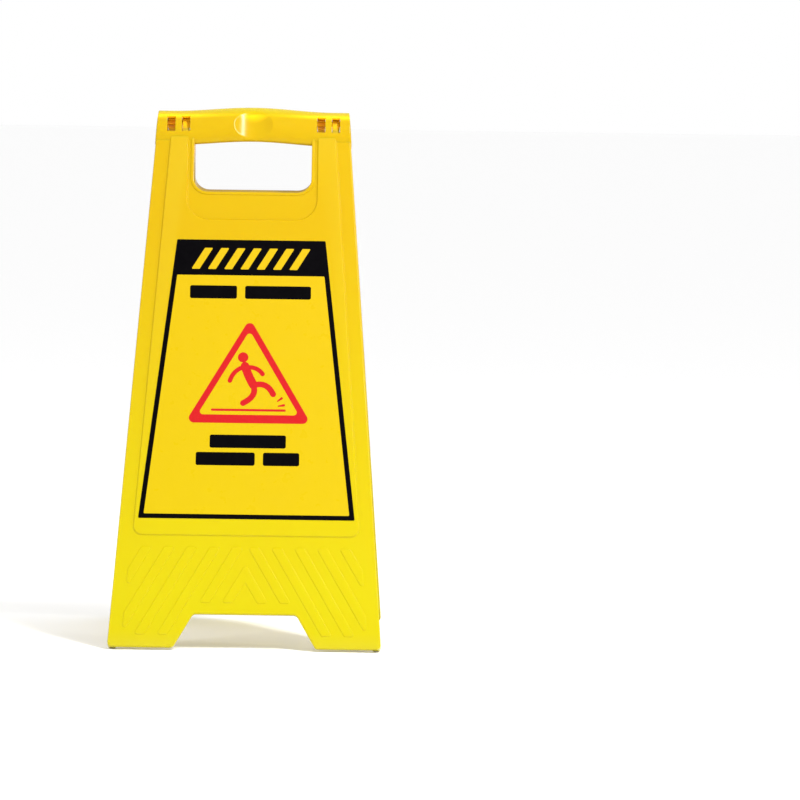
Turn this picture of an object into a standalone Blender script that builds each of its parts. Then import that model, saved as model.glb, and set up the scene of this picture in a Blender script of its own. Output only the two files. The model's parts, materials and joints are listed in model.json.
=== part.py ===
"""A-frame floor sign: two moulded panels that snap together at the grip beam, with a printed label on each.

Metres, +Z up, origin on the floor under the hinge, front panel facing -Y.
A panel is modelled upright, as it stands when folded, with the hinge axis as its own X axis and its
outer face towards -Y. It is then leaned to its open angle. Both panels come from the same tool.
"""
import math

import bmesh
import bpy
from mathutils import Matrix

# Panel, measured along its slanted face from the square-cut foot.
SLANT = 0.620
WIDTH_TOP = 0.212
WIDTH_FOOT = 0.300
LEAN = math.radians(19.0)
FLANGE = 0.016
WALL = 0.0024
HALF_GAP = 0.00015
SHORT_LIP = 0.005

# Grip beam: a half barrel that is round about a centre near the fold plane.
BEAM_RADIUS = 0.030
BEAM_WALL = 0.0026
BEAM_END_LAP = 0.0006
PLATE_BACK = 0.0003
BEAM_FLOOR = 0.5778
APEX_ABOVE_AXIS = 0.013
APEX_TILT = math.radians(12.0)
CROWN_RISE = 0.0045
CROWN_REACH = 0.090
ARC_STEPS = 12

# Thumb scoop in the middle of the beam.
SCOOP_RADIUS = 0.050
SCOOP_WIDTH = 0.043
SCOOP_PAD = 0.026
SCOOP_BACKING = 0.0085
SCOOP_ANGLE = math.radians(86.0)
PAD_START = math.radians(7.0)

# Hinge stations: a bar between two cheeks, or a hook that snaps over the other panel's bar.
BAR_STATIONS = (-0.0918, 0.0754)
HOOK_STATIONS = (-0.0754, 0.0918)
BAR_RADIUS = 0.0030
BAR_HALF_LENGTH = 0.0068
CHEEK_WALL = 0.0022
CHEEK_RADIUS = 0.0042
CHEEK_LOW = 0.5875
HOOK_INNER = 0.00335
HOOK_OUTER = 0.0062
HOOK_WIDTH = 0.0084
HOOK_MOUTH = math.radians(110.0)
ARM_ANGLES = (math.radians(113.0), math.radians(101.0))
WINDOW_WIDTH = 0.0090
WINDOW_HEIGHT = 0.0195
WINDOW_ANGLE = math.radians(76.0)

# Raised label field, its inner pocket, and the dish round the handle hole.
FIELD_RISE = 0.0016
FIELD_INSET = 0.0155
FIELD_LOW = 0.1255
POCKET_HIGH = 0.4855
DISH_HALF = 0.0714
DISH_LOW = 0.4903
DISH_CORNER = 0.023
HOLE_HALF = 0.0655
HOLE_LOW = 0.5220
HOLE_CORNER = 0.016
RIM_WIDTH = 0.0030
RIM_RISE = 0.0010
TRAY_TOP = 0.588

# Feet and the arch between them.
FOOT_WIDTH = 0.072
ARCH_HALF = 0.0565
ARCH_HIGH = 0.0380
ARCH_CORNER = 0.006
FOOT_CORNER = 0.005
CORNER_BLOCK = 0.008
CORNER_BLOCK_HEIGHT = 0.014
TIP_CUT = 0.0017

# Skirt of raised chevron bars above the feet.
BAR_PITCH = 0.025
BAR_SPAN = 0.0124
BAR_RISE = 0.0008
FIRST_BAR_EDGE = 0.0145
SKIRT_HIGH = 0.1136
SKIRT_LOW = 0.0135
ARCH_MARGIN = 0.012
SIDE_MARGIN = 0.0146
MIDDLE_LAP = 0.0004
BAR_SLOPE = math.tan(math.radians(29.7))

# Stiffening ribs inside, beside the handle hole.
RIB_PLACES = (0.0785, 0.0895)
RIB_WALL = 0.0018
RIB_DEPTH = 0.0095
CROSS_RIB = 0.541

# Printed label.
LABEL_LOW = 0.145
LABEL_HIGH = 0.4655
LABEL_HALF_LOW = 0.1192
LABEL_HALF_HIGH = 0.0825
LABEL_FILM = 0.0004
TOUCH_GAP = 0.0003

AXIS_FROM_FOOT = SLANT - APEX_ABOVE_AXIS * math.cos(LEAN)
OUT = -(FLANGE + HALF_GAP)
LIP = -HALF_GAP
SKIN = OUT + WALL
AXIS_HEIGHT = AXIS_FROM_FOOT * math.cos(LEAN) - LIP * math.sin(LEAN) - TIP_CUT


def clear_scene():
    """Empty the file, so the script gives the same result each time."""
    for obj in list(bpy.data.objects):
        bpy.data.objects.remove(obj)


def up(from_foot):
    """Height in the panel's own frame of a place measured along the face from the foot."""
    return from_foot - AXIS_FROM_FOOT


def half_width(from_foot):
    """Half the panel's width at a place measured along the face from the foot."""
    taper = (WIDTH_FOOT - WIDTH_TOP) / 2 / SLANT
    return WIDTH_FOOT / 2 - taper * from_foot


def rounded(corners, steps=5):
    """Outline through (x, z, radius) corners, each with a radius drawn as an arc."""
    points = []
    for index, (x, z, radius) in enumerate(corners):
        before = corners[index - 1]
        after = corners[(index + 1) % len(corners)]
        if radius == 0:
            points.append((x, z))
            continue
        a = math.atan2(before[1] - z, before[0] - x)
        b = math.atan2(after[1] - z, after[0] - x)
        turn = (b - a + math.pi) % (2 * math.pi) - math.pi
        reach = radius / math.sin(abs(turn) / 2)
        middle = a + turn / 2
        cx = x + reach * math.cos(middle)
        cz = z + reach * math.sin(middle)
        sweep = math.copysign(math.pi - abs(turn), turn)
        start = middle + math.pi + sweep / 2
        for step in range(steps + 1):
            angle = start - sweep * step / steps
            points.append((cx + radius * math.cos(angle), cz + radius * math.sin(angle)))
    return points


def new_object(name, shape):
    """Put a bmesh in the scene as an object, with its faces turned outwards."""
    bmesh.ops.recalc_face_normals(shape, faces=shape.faces)
    mesh = bpy.data.meshes.new(name)
    shape.to_mesh(mesh)
    shape.free()
    obj = bpy.data.objects.new(name, mesh)
    bpy.context.collection.objects.link(obj)
    return obj


def loft(name, sections):
    """Closed solid through a list of point loops that all have the same count."""
    shape = bmesh.new()
    loops = [[shape.verts.new(point) for point in section] for section in sections]
    count = len(loops[0])
    for low, high in zip(loops, loops[1:]):
        for i in range(count):
            j = (i + 1) % count
            shape.faces.new((low[i], low[j], high[j], high[i]))
    shape.faces.new(loops[0])
    shape.faces.new(loops[-1])
    return new_object(name, shape)


def prism(name, outline, y_near, y_far):
    """Solid with an (x, z) outline between two depths."""
    return loft(name, [[(x, y, z) for x, z in outline] for y in (y_near, y_far)])


def drafted(name, outline_near, y_near, outline_far, y_far):
    """Solid whose outline changes from one depth to another, as a moulding's draft does."""
    near = [(x, y_near, z) for x, z in outline_near]
    far = [(x, y_far, z) for x, z in outline_far]
    return loft(name, [near, far])


def block(name, x_range, y_range, z_range):
    """Box between given limits."""
    (x0, x1), (y0, y1), (z0, z1) = x_range, y_range, z_range
    return prism(name, [(x0, z0), (x1, z0), (x1, z1), (x0, z1)], y0, y1)


def slab(name, profile, x_near, x_far):
    """Solid with a (y, z) profile between two places along the hinge axis."""
    return loft(name, [[(x, y, z) for y, z in profile] for x in (x_near, x_far)])


def combine(body, tool, operation):
    """Join, cut or intersect with an exact Boolean and use the tool up."""
    modifier = body.modifiers.new(operation.lower(), "BOOLEAN")
    modifier.operation = operation
    modifier.object = tool
    graph = bpy.context.evaluated_depsgraph_get()
    result = bpy.data.meshes.new_from_object(body.evaluated_get(graph))
    body.modifiers.clear()
    body.data = result
    bpy.data.objects.remove(tool)


def panel_outline(inset):
    """Tray outline with its two feet and the arch between them."""
    foot = half_width(0) - inset
    inner = WIDTH_FOOT / 2 - FOOT_WIDTH + inset
    arch = ARCH_HALF + inset * 0.6
    bottom = up(inset)
    arch_top = up(ARCH_HIGH + inset)
    top = up(TRAY_TOP)
    corner = max(FOOT_CORNER - inset, 0.002)
    return rounded([
        (-arch, arch_top, ARCH_CORNER),
        (arch, arch_top, ARCH_CORNER),
        (inner, bottom, corner),
        (foot, bottom, corner),
        (half_width(TRAY_TOP) - inset, top, 0),
        (-half_width(TRAY_TOP) + inset, top, 0),
        (-foot, bottom, corner),
        (-inner, bottom, corner),
    ])


def tapered_outline(low, high, inset, radius):
    """Outline with sides parallel to the panel's own."""
    corners = [
        (-half_width(low) + inset, up(low), radius),
        (half_width(low) - inset, up(low), radius),
        (half_width(high) - inset, up(high), 0),
        (-half_width(high) + inset, up(high), 0),
    ]
    return rounded(corners)


def hole_outline(half, low, corner):
    """Outline with round lower corners, open upwards into the beam."""
    high = up(SLANT)
    return rounded([(-half, up(low), corner), (half, up(low), corner), (half, high, 0), (-half, high, 0)])


def tray(name):
    """Shell of one panel: skin, deep side flanges, short lips at the feet and the arch."""
    body = prism(name, panel_outline(0), OUT, LIP)
    field = [FIELD_INSET, FIELD_INSET + FIELD_RISE]
    outer = tapered_outline(FIELD_LOW, TRAY_TOP - 0.001, field[0], 0.008)
    inner = tapered_outline(FIELD_LOW + FIELD_RISE, TRAY_TOP - 0.001, field[1], 0.007)
    combine(body, drafted("field", outer, OUT + 0.001, inner, OUT - FIELD_RISE), "UNION")
    combine(body, drafted("skin_cavity", panel_outline(WALL), SKIN, panel_outline(WALL), 0.01), "DIFFERENCE")
    between = tapered_outline(-0.01, SLANT, WALL, 0)
    combine(body, prism("lip_cavity", between, OUT + SHORT_LIP, 0.01), "DIFFERENCE")
    pocket_wide = tapered_outline(FIELD_LOW + 0.003, POCKET_HIGH, FIELD_INSET + 0.003, 0.006)
    pocket_deep = tapered_outline(FIELD_LOW + 0.0046, POCKET_HIGH - 0.0016, FIELD_INSET + 0.0046, 0.005)
    pocket = drafted("pocket", pocket_wide, SKIN + 0.0001, pocket_deep, SKIN - FIELD_RISE)
    combine(body, pocket, "DIFFERENCE")
    return body


def add_corner_blocks(body):
    """Solid block in each foot's outer corner, which carries the sign on the floor."""
    for side in (-1, 1):
        low = side * (half_width(0) - 0.0012)
        high = side * (half_width(CORNER_BLOCK_HEIGHT) - 0.0012)
        inner_low = side * (half_width(0) - CORNER_BLOCK)
        inner_high = side * (half_width(CORNER_BLOCK_HEIGHT) - CORNER_BLOCK)
        top = up(CORNER_BLOCK_HEIGHT)
        outline = [(low, up(0.003)), (inner_low, up(0)), (inner_high, top), (high, top)]
        combine(body, prism("corner_block", outline, SKIN - 0.001, LIP), "UNION")


def add_skirt(body):
    """Raised bars that form nested chevrons above the feet."""
    for side in (-1, 1):
        for index in range(-1, 5):
            outer = FIRST_BAR_EDGE + BAR_PITCH * index
            low = SKIRT_LOW if index >= 1 else ARCH_HIGH + ARCH_MARGIN
            outline = chevron_bar(outer, low, side)
            combine(body, prism("chevron_bar", outline, OUT + 0.001, OUT - BAR_RISE), "UNION")


def chevron_bar(outer, low, side):
    """Slanted bar from the skirt's top edge down, clipped to the panel's side and its middle."""
    run = (SKIRT_HIGH - low) * BAR_SLOPE
    strip = [
        (outer - BAR_SPAN, SKIRT_HIGH),
        (outer, SKIRT_HIGH),
        (outer + run, low),
        (outer + run - BAR_SPAN, low),
    ]
    strip = clip(strip, lambda x, v: x + MIDDLE_LAP)
    strip = clip(strip, lambda x, v: half_width(v) - SIDE_MARGIN - x)
    return [(side * x, up(v)) for x, v in strip]


def clip(outline, inside):
    """Part of an outline where a linear function of its place is positive."""
    kept = []
    for index, point in enumerate(outline):
        previous = outline[index - 1]
        now, then = inside(*point), inside(*previous)
        if (now > 0) != (then > 0):
            share = then / (then - now)
            kept.append(tuple(a + share * (b - a) for a, b in zip(previous, point)))
        if now > 0:
            kept.append(point)
    return kept


def add_handle_hole(body):
    """Dish, raised rim and full-depth collar round the handle hole, then the hole itself."""
    face = OUT - FIELD_RISE
    wide = hole_outline(DISH_HALF + 0.0017, DISH_LOW - 0.0017, DISH_CORNER + 0.0017)
    floor = hole_outline(DISH_HALF, DISH_LOW, DISH_CORNER)
    combine(body, drafted("dish", wide, face - 0.0001, floor, OUT), "DIFFERENCE")
    rim = hole_outline(HOLE_HALF + RIM_WIDTH, HOLE_LOW - RIM_WIDTH, HOLE_CORNER + RIM_WIDTH)
    rim = [(x, min(z, up(TRAY_TOP - 0.0005))) for x, z in rim]
    combine(body, prism("rim", rim, OUT + 0.001, OUT - RIM_RISE), "UNION")
    collar = hole_outline(HOLE_HALF + WALL, HOLE_LOW - WALL, HOLE_CORNER + WALL)
    collar = [(x, min(z, up(TRAY_TOP - 0.0010))) for x, z in collar]
    combine(body, prism("collar", collar, OUT + 0.0005, LIP), "UNION")
    hole = hole_outline(HOLE_HALF, HOLE_LOW, HOLE_CORNER)
    combine(body, prism("handle_hole", hole, OUT - 0.01, 0.01), "DIFFERENCE")


def stop_point(distance):
    """Place on the stop face's plane, a distance above the hinge axis."""
    return (-distance * math.sin(LEAN), distance * math.cos(LEAN))


def beam_centre():
    """Centre of the barrel in the panel's own (y, z), before its gap is taken off."""
    apex_y, apex_z = stop_point(APEX_ABOVE_AXIS)
    start = APEX_TILT + LEAN
    return (apex_y + BEAM_RADIUS * math.sin(start) - HALF_GAP, apex_z - BEAM_RADIUS * math.cos(start))


def on_barrel(radius, angle):
    """Point of the barrel at an angle from straight up towards the outer face."""
    centre_y, centre_z = beam_centre()
    return (centre_y - radius * math.sin(angle), centre_z + radius * math.cos(angle))


def stop_angle(radius):
    """Angle at which a circle about the barrel's centre meets the stop face."""
    centre_y, centre_z = beam_centre()
    offset = (centre_y + HALF_GAP) * math.cos(LEAN) + centre_z * math.sin(LEAN)
    return LEAN + math.asin(offset / radius)


def low_angle(radius, low):
    """Angle at which a circle about the barrel's centre comes down to a height."""
    return math.acos((up(low) - beam_centre()[1]) / radius)


def barrel_arc(radius, low=BEAM_FLOOR, short=0.0):
    """Points along the barrel from the stop face, or a little short of it, down to a height."""
    first, last = stop_angle(radius) + short / radius, low_angle(radius, low)
    return [on_barrel(radius, first + (last - first) * i / ARC_STEPS) for i in range(ARC_STEPS + 1)]


def crown(x):
    """Rise of the beam towards its middle."""
    if abs(x) >= CROWN_REACH:
        return 0.0
    return CROWN_RISE * (1 + math.cos(math.pi * x / CROWN_REACH)) / 2


def raised(profile, rise):
    """Beam profile moved up along the stop face."""
    shift_y, shift_z = stop_point(rise)
    return [(y + shift_y, z + shift_z) for y, z in profile]


def full_section(radius, low):
    """Section from a barrel arc to just short of the fold plane and the stop face."""
    edge = LIP - PLATE_BACK
    return barrel_arc(radius, low, PLATE_BACK) + [(edge, up(low)), (edge, -PLATE_BACK)]


def beam_end(z):
    """Half the beam's length at a height in the panel's own frame; its ends lap over the panel's sides."""
    return half_width(z + AXIS_FROM_FOOT) + BEAM_END_LAP


def add_beam(body):
    """Half-barrel wall with its crown, and a closed plate at each end."""
    wall = barrel_arc(BEAM_RADIUS) + barrel_arc(BEAM_RADIUS - BEAM_WALL)[::-1]
    steps = 12
    inner = [CROWN_REACH * (2 * i / steps - 1) for i in range(steps + 1)]
    sections = [[(x, y, z) for y, z in raised(wall, crown(x))] for x in inner]
    sections.insert(0, [(-beam_end(z), y, z) for y, z in wall])
    sections.append([(beam_end(z), y, z) for y, z in wall])
    combine(body, loft("beam", sections), "UNION")
    plate = full_section(BEAM_RADIUS - 0.0004, BEAM_FLOOR + 0.0004)
    depths = (PLATE_BACK, BEAM_WALL)
    for side in (-1, 1):
        sections = [[(side * (beam_end(z) - depth), y, z) for y, z in plate] for depth in depths]
        combine(body, loft("end_plate", sections), "UNION")


def add_scoop(body):
    """Thumb scoop: a shallow channel across the front of the beam, backed by a pad inside."""
    pad = [on_barrel(BEAM_RADIUS - 0.001, a) for a in pad_angles()]
    pad += [on_barrel(BEAM_RADIUS - SCOOP_BACKING, a) for a in pad_angles()[::-1]]
    stations = [SCOOP_PAD * (i / 3 - 1) for i in range(7)]
    sections = [[(x, y, z) for y, z in raised(pad, crown(x))] for x in stations]
    combine(body, loft("pad", sections), "UNION")
    depth = SCOOP_RADIUS - math.sqrt(SCOOP_RADIUS ** 2 - (SCOOP_WIDTH / 2) ** 2)
    centre = -BEAM_RADIUS - SCOOP_RADIUS + depth
    turn = [2 * math.pi * i / 96 for i in range(96)]
    ring = [(SCOOP_RADIUS * math.cos(a), centre + SCOOP_RADIUS * math.sin(a)) for a in turn]
    tool = loft("scoop", [[(x, y, z) for x, y in ring] for z in (-BEAM_RADIUS, BEAM_RADIUS)])
    rise_y, rise_z = stop_point(CROWN_RISE)
    tool.data.transform(Matrix.Translation((0, rise_y, rise_z)) @ barrel_tilt(SCOOP_ANGLE))
    combine(body, tool, "DIFFERENCE")


def barrel_tilt(angle):
    """Turn and move a tool made against the barrel's front so that it works at an angle round it."""
    centre_y, centre_z = beam_centre()
    return Matrix.Translation((0, centre_y, centre_z)) @ Matrix.Rotation(angle - math.pi / 2, 4, "X")


def pad_angles():
    """Angles along the barrel that the scoop's backing pad covers."""
    first = stop_angle(BEAM_RADIUS) + PAD_START
    last = low_angle(BEAM_RADIUS, BEAM_FLOOR)
    return [first + (last - first) * i / 8 for i in range(9)]


def disc(radius, steps=20):
    """Circle about the hinge axis."""
    angles = [2 * math.pi * (i + 0.5) / steps for i in range(steps)]
    return [(radius * math.cos(a), radius * math.sin(a)) for a in angles]


def add_bar(body, middle):
    """Hinge bar on the axis, held between two cheeks that stand on the beam's wall."""
    for side in (-1, 1):
        near = middle + side * BAR_HALF_LENGTH
        far = middle + side * (BAR_HALF_LENGTH - CHEEK_WALL)
        cheek = slab("cheek", full_section(BEAM_RADIUS - 0.0008, CHEEK_LOW), near, far)
        combine(cheek, slab("boss", disc(CHEEK_RADIUS), near, far), "UNION")
        combine(body, cheek, "UNION")
    reach = BAR_HALF_LENGTH - CHEEK_WALL / 2
    combine(body, slab("bar", disc(BAR_RADIUS), middle - reach, middle + reach), "UNION")


def add_hook(body, middle):
    """C-shaped hook on an arm from the beam's wall, with its mouth towards the other panel."""
    half_ring = math.pi - HOOK_MOUTH / 2
    angles = [math.pi + half_ring * (i / 8 - 1) for i in range(17)]
    ring = [(HOOK_OUTER * math.cos(a), HOOK_OUTER * math.sin(a)) for a in angles]
    ring += [(HOOK_INNER * math.cos(a), HOOK_INNER * math.sin(a)) for a in angles[::-1]]
    near, far = middle - HOOK_WIDTH / 2, middle + HOOK_WIDTH / 2
    hook = slab("hook", ring, near, far)
    arm_start = -HOOK_INNER - 0.0012
    arm_half = 0.0024
    root = [on_barrel(BEAM_RADIUS - BEAM_WALL / 2, angle) for angle in ARM_ANGLES]
    arm = [(arm_start, arm_half), (arm_start, -arm_half)] + root
    combine(hook, slab("arm", arm, near + 0.0002, far - 0.0002), "UNION")
    combine(body, hook, "UNION")


def cut_window(body, middle):
    """Window through the beam's wall over a hinge station."""
    tool = block("window", (middle - WINDOW_WIDTH / 2, middle + WINDOW_WIDTH / 2),
                 (-BEAM_RADIUS - 0.006, -BEAM_RADIUS + BEAM_WALL + 0.0008),
                 (-WINDOW_HEIGHT / 2, WINDOW_HEIGHT / 2))
    tool.data.transform(barrel_tilt(WINDOW_ANGLE))
    combine(body, tool, "DIFFERENCE")


def add_ribs(body):
    """Upright ribs from the pocket to the beam, and one rib across them."""
    deep = SKIN + RIB_DEPTH
    for side in (-1, 1):
        for place in RIB_PLACES:
            x_range = sorted((side * place, side * (place + RIB_WALL)))
            z_range = (up(POCKET_HIGH), up(BEAM_FLOOR + 0.006))
            combine(body, block("rib", x_range, (SKIN - 0.0005, deep), z_range), "UNION")
        across = sorted((side * (HOLE_HALF + 0.0012), side * (RIB_PLACES[-1] + 0.0009)))
        z_range = (up(CROSS_RIB), up(CROSS_RIB + RIB_WALL))
        combine(body, block("cross_rib", across, (SKIN - 0.0005, deep - 0.002), z_range), "UNION")


def cut_tips(body):
    """Cut the feet's lowest corners level with the floor of the open sign."""
    floor = block("floor", (-0.2, 0.2), (-0.4, 0.4), (-0.05, 0.0))
    to_panel = Matrix.Rotation(LEAN, 4, "X") @ Matrix.Translation((0, 0, -AXIS_HEIGHT))
    floor.data.transform(to_panel)
    combine(body, floor, "DIFFERENCE")


def panel(name):
    """One complete moulding in its own frame."""
    body = tray(name)
    add_handle_hole(body)
    add_skirt(body)
    add_corner_blocks(body)
    add_beam(body)
    add_scoop(body)
    for station in BAR_STATIONS + HOOK_STATIONS:
        cut_window(body, station)
    for station in BAR_STATIONS:
        add_bar(body, station)
    for station in HOOK_STATIONS:
        add_hook(body, station)
    add_ribs(body)
    cut_tips(body)
    return body


def label(name):
    """Printed film that lies on the raised field."""
    outline = [
        (-LABEL_HALF_LOW, up(LABEL_LOW)),
        (LABEL_HALF_LOW, up(LABEL_LOW)),
        (LABEL_HALF_HIGH, up(LABEL_HIGH)),
        (-LABEL_HALF_HIGH, up(LABEL_HIGH)),
    ]
    back = OUT - FIELD_RISE - TOUCH_GAP
    return prism(name, outline, back - LABEL_FILM, back)


def finish(obj, colour, roughness):
    """Give an object its own plastic and shade its round stretches smooth."""
    material = bpy.data.materials.new(obj.name + "_plastic")
    material.use_nodes = True
    shader = material.node_tree.nodes["Principled BSDF"]
    shader.inputs["Base Color"].default_value = (*colour, 1.0)
    shader.inputs["Roughness"].default_value = roughness
    shader.inputs["Metallic"].default_value = 0.0
    obj.data.materials.clear()
    obj.data.materials.append(material)
    obj.data.shade_smooth()
    obj.data.set_sharp_from_angle(angle=math.radians(25))


def place(obj, turned):
    """Lean an object about the hinge axis, turned half round if it belongs to the rear."""
    half_round = Matrix.Rotation(math.pi if turned else 0.0, 4, "Z")
    obj.matrix_world = Matrix.Translation((0, 0, AXIS_HEIGHT)) @ half_round @ Matrix.Rotation(-LEAN, 4, "X")


def build():
    clear_scene()
    yellow = (0.93, 0.62, 0.008)
    for side, turned in (("front", False), ("rear", True)):
        moulding = panel(side + "_panel")
        finish(moulding, yellow, 0.38)
        place(moulding, turned)
        sheet = label(side + "_label")
        finish(sheet, (0.90, 0.64, 0.01), 0.5)
        place(sheet, turned)


build()
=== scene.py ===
# %% [markdown]
# # A folding floor sign
# The sign is two moulded plastic panels that snap together along a round grip beam.
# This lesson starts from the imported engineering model, which already has every size,
# the hinge and the way the sign folds. Here the surfaces get their fine shape and finish.

# %% Load the frame
import json
import math

import bmesh
import bpy
from mathutils import Matrix, Vector
from mathutils.geometry import delaunay_2d_cdt


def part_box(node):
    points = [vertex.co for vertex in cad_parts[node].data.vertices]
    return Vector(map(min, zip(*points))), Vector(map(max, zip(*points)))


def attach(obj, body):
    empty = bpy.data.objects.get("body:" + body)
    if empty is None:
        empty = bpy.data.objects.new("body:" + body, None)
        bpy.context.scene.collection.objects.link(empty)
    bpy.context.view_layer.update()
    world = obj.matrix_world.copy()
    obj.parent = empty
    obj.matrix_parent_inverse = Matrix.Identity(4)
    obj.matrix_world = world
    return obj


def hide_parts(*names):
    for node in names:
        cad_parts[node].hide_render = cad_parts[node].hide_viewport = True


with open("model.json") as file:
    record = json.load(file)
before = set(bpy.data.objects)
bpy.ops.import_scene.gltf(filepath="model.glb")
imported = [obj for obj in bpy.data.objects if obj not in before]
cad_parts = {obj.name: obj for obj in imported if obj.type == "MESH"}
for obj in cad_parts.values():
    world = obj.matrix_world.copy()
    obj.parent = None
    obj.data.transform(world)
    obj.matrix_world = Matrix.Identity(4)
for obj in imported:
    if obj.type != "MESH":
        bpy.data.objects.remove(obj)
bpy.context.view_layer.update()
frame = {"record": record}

# %% [markdown]
# ## Where the panels stand
# Both panels come out of one tool, so one recipe serves twice. It is written in the panel's own
# frame: upright, hinge axis along X at height zero, outer face towards -Y. The open angle and the
# axis height are read from the hinge joint, so the pieces land on the frame.

# %% Hinge and panel frame
fold = frame["record"]["behaviour"]["joints"][0]
LEAN = math.radians(fold["range_deg"][1] / 2)
AXIS_HEIGHT = fold["pos_m"][2]
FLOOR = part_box("front_panel")[0].z


def panel_place(turned):
    """Matrix from the panel's own frame to the open sign."""
    half_round = Matrix.Rotation(math.pi if turned else 0.0, 4, "Z")
    return Matrix.Translation((0, 0, AXIS_HEIGHT)) @ half_round @ Matrix.Rotation(-LEAN, 4, "X")


print("lean", round(math.degrees(LEAN), 2), "degrees, axis height", AXIS_HEIGHT)

# %% [markdown]
# ## The panel's driving sizes
# Heights are measured along the slanted face from the foot, because that is how a toolmaker
# reads the part. Depths are measured from the flat outer face, inwards positive.

# %% Panel sizes
TIP_LOSS = 0.00038
WIDTH_FOOT = 2 * (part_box("front_panel")[1].x + TIP_LOSS)
SLANT = 0.620
WIDTH_TOP = 0.212
WALL = 0.0024
DEPTH = 0.016
HALF_GAP = 0.00015
SHORT_LIP = 0.005
APEX_ABOVE_AXIS = 0.013
AXIS_FROM_FOOT = SLANT - APEX_ABOVE_AXIS * math.cos(LEAN)
OUT = -(DEPTH + HALF_GAP)
TRAY_TOP = 0.588
ARC_STEPS = 8


def up(from_foot):
    """Height in the panel's own frame of a place measured along the face from the foot."""
    return from_foot - AXIS_FROM_FOOT


def half_width(from_foot):
    """Half the panel's width at a place measured along the face from the foot."""
    return WIDTH_FOOT / 2 - (WIDTH_FOOT - WIDTH_TOP) / 2 / SLANT * from_foot


print("half width at foot and top", round(half_width(0), 4), round(half_width(SLANT), 4))

# %% [markdown]
# ## Outlines with real corners
# Every outline on a moulding has round corners, because a cutter made the tool. One helper turns
# (x, height, radius) corners into points. Outlines with the same corners have the same number of
# points, so strips of faces fit between them.

# %% Rounded outline helper
def rounded(corners, steps=ARC_STEPS):
    """Closed outline through (x, z, radius) corners, each with a radius drawn as an arc."""
    points = []
    for index, (x, z, radius) in enumerate(corners):
        before = corners[index - 1]
        after = corners[(index + 1) % len(corners)]
        if radius == 0:
            points.append((x, z))
            continue
        a = math.atan2(before[1] - z, before[0] - x)
        b = math.atan2(after[1] - z, after[0] - x)
        turn = (b - a + math.pi) % (2 * math.pi) - math.pi
        reach = radius / math.sin(abs(turn) / 2)
        cx = x + reach * math.cos(a + turn / 2)
        cz = z + reach * math.sin(a + turn / 2)
        sweep = math.copysign(math.pi - abs(turn), turn)
        start = a + turn / 2 + math.pi + sweep / 2
        for step in range(steps + 1):
            angle = start - sweep * step / steps
            points.append((cx + radius * math.cos(angle), cz + radius * math.sin(angle)))
    return points


def shrunk(corners, inset):
    """Corners of a straight-sided outline, in counter-clockwise order, moved inwards by an inset."""
    moved = []
    for index, (x, z) in enumerate(corners):
        before = Vector(corners[index - 1])
        here = Vector((x, z))
        after = Vector(corners[(index + 1) % len(corners)])
        first = (here - before).normalized()
        second = (after - here).normalized()
        left = Vector((-first.y, first.x)) + Vector((-second.y, second.x))
        left *= inset / max(left.length_squared / 2, 1e-9)
        moved.append((x + left.x, z + left.y))
    return moved


print("points in a rounded square", len(rounded([(0, 0, 1), (4, 0, 1), (4, 4, 1), (0, 4, 1)])))

# %% [markdown]
# ## The panel's own outlines
# Three outlines carry the design: the silhouette with its feet and arch, the U round the handle
# hole, and the tapered field that takes the label. Each is an open path that starts and ends under
# the grip beam, so that the beam covers the ends.

# %% Silhouette, hole and field paths
FOOT_WIDTH = 0.072
FOOT_CORNER = 0.005
ARCH_HALF = 0.0565
ARCH_HIGH = 0.0380
ARCH_CORNER = 0.006
ARCH_FLARE = 0.6
ARCH_CORNER_GROWTH = 0.3
LEAST_CORNER = 0.002
STEP_FROM_SIDE = (0.0085, 0.0100)
HOLE_HALF = 0.0655
HOLE_LOW = 0.5220
HOLE_CORNER = 0.016
DISH_HALF = 0.0714
DISH_LOW = 0.4903
DISH_CORNER = 0.023
FIELD_LOW = 0.1255
FIELD_INSET = 0.0155


def silhouette(inset):
    """Open path from the top left corner down round the feet and the arch to the top right."""
    foot = half_width(0) - inset
    inner = WIDTH_FOOT / 2 - FOOT_WIDTH + inset
    arch = ARCH_HALF + inset * ARCH_FLARE
    bottom = up(inset)
    corner = max(FOOT_CORNER - inset, LEAST_CORNER)
    arch_corner = ARCH_CORNER + inset * ARCH_CORNER_GROWTH
    left = [(-half_width(TRAY_TOP) + inset, up(TRAY_TOP), 0), (-foot, bottom, corner)]
    left += [(-half_width(0) + step, bottom, 0) for step in STEP_FROM_SIDE]
    left += [(-inner, bottom, corner), (-arch, up(ARCH_HIGH + inset), arch_corner)]
    right = [(-x, z, radius) for x, z, radius in reversed(left)]
    return rounded(left + right)


def hole_path(half, low, corner):
    """Open U with round lower corners."""
    top = up(TRAY_TOP)
    return rounded([(-half, top, 0), (-half, up(low), corner), (half, up(low), corner), (half, top, 0)])


def tapered(low, high, half_low, half_high, radius, radius_high, steps=ARC_STEPS):
    """Closed outline, alike on both sides, between two places along the face."""
    low, high = up(low), up(high)
    return rounded([
        (-half_low, low, radius), (half_low, low, radius),
        (half_high, high, radius_high), (-half_high, high, radius_high),
    ], steps)


def field_path(inset, low, corner):
    """Open U whose sides run parallel to the panel's sides."""
    top = half_width(TRAY_TOP) - inset
    bottom = half_width(low) - inset
    return rounded([
        (-top, up(TRAY_TOP), 0),
        (-bottom, up(low), corner),
        (bottom, up(low), corner),
        (top, up(TRAY_TOP), 0),
    ])


print("silhouette points", len(silhouette(0)))
print("hole points", len(hole_path(HOLE_HALF, HOLE_LOW, HOLE_CORNER)))

# %% [markdown]
# ## Rows of vertices
# The skin is built like a knitted sleeve: a row of vertices for each step of a rounded edge, with
# strips of faces between the rows. The wide flat areas are filled with a constrained triangulation,
# which keeps every feature's edge where it was drawn.

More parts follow.
